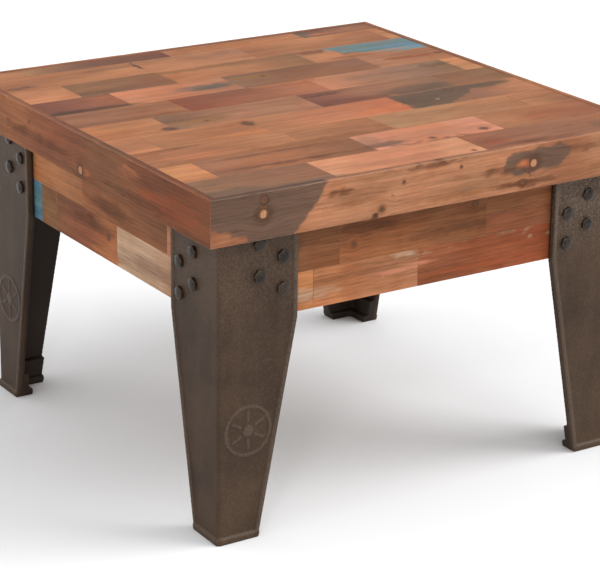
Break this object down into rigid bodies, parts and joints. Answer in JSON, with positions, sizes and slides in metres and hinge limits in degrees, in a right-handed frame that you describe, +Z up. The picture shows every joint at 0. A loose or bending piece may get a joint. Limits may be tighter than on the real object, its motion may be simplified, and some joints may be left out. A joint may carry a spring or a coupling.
{
  "type": "low square table",
  "caption": "Low square table: thick slab and apron clad in reclaimed wood staves, on L-section cast-iron legs bolted to the apron corners.",
  "frame": {"origin": "on the floor, under the middle of the top", "axes": "+X to the right along the front edge, +Y to the back, +Z up"},
  "size_m": [0.65, 0.65, 0.445],
  "materials": {
    "top_wood": "waxed reclaimed wood, worn and stained",
    "edge_wood": "waxed reclaimed wood with a worn arris",
    "apron_wood": "reclaimed wood, some pieces with old paint",
    "core_board": "bare plywood",
    "frame_wood": "bare softwood",
    "plug_wood": "waxed end grain",
    "leg_iron": "sand cast, dark brown patina under wax",
    "bolt_steel": "blackened, worn on the crowns",
    "zinc_steel": "bright zinc"
  },
  "bodies": {
    "root": {"back_apron_board": "frame_wood", "back_apron_lower_staves": "apron_wood", "back_apron_upper_staves": "apron_wood", "back_cleat": "frame_wood", "back_edge_board": "edge_wood", "back_left_leg": "leg_iron", "back_left_leg_bolts": "bolt_steel", "back_left_post": "frame_wood", "back_rail": "frame_wood", "back_right_leg": "leg_iron", "back_right_leg_bolts": "bolt_steel", "back_right_post": "frame_wood", "bolt_nuts": "zinc_steel", "bolt_washers": "zinc_steel", "cleat_screws": "zinc_steel", "core_panel": "core_board", "edge_board_plugs": "plug_wood", "front_apron_board": "frame_wood", "front_apron_lower_staves": "apron_wood", "front_apron_upper_staves": "apron_wood", "front_cleat": "frame_wood", "front_edge_board": "edge_wood", "front_left_leg": "leg_iron", "front_left_leg_bolts": "bolt_steel", "front_left_post": "frame_wood", "front_rail": "frame_wood", "front_right_leg": "leg_iron", "front_right_leg_bolts": "bolt_steel", "front_right_post": "frame_wood", "left_apron_board": "frame_wood", "left_apron_lower_staves": "apron_wood", "left_apron_upper_staves": "apron_wood", "left_batten": "frame_wood", "left_cleat": "frame_wood", "left_edge_board": "edge_wood", "left_rail": "frame_wood", "post_screws": "zinc_steel", "rail_screws": "zinc_steel", "right_apron_board": "frame_wood", "right_apron_lower_staves": "apron_wood", "right_apron_upper_staves": "apron_wood", "right_batten": "frame_wood", "right_cleat": "frame_wood", "right_edge_board": "edge_wood", "right_rail": "frame_wood", "top_stave_row_01": "top_wood", "top_stave_row_02": "top_wood", "top_stave_row_03": "top_wood", "top_stave_row_04": "top_wood", "top_stave_row_05": "top_wood", "top_stave_row_06": "top_wood", "top_stave_row_07": "top_wood", "top_stave_row_08": "top_wood", "top_stave_row_09": "top_wood", "top_stave_row_10": "top_wood"}
  },
  "joints": []
}
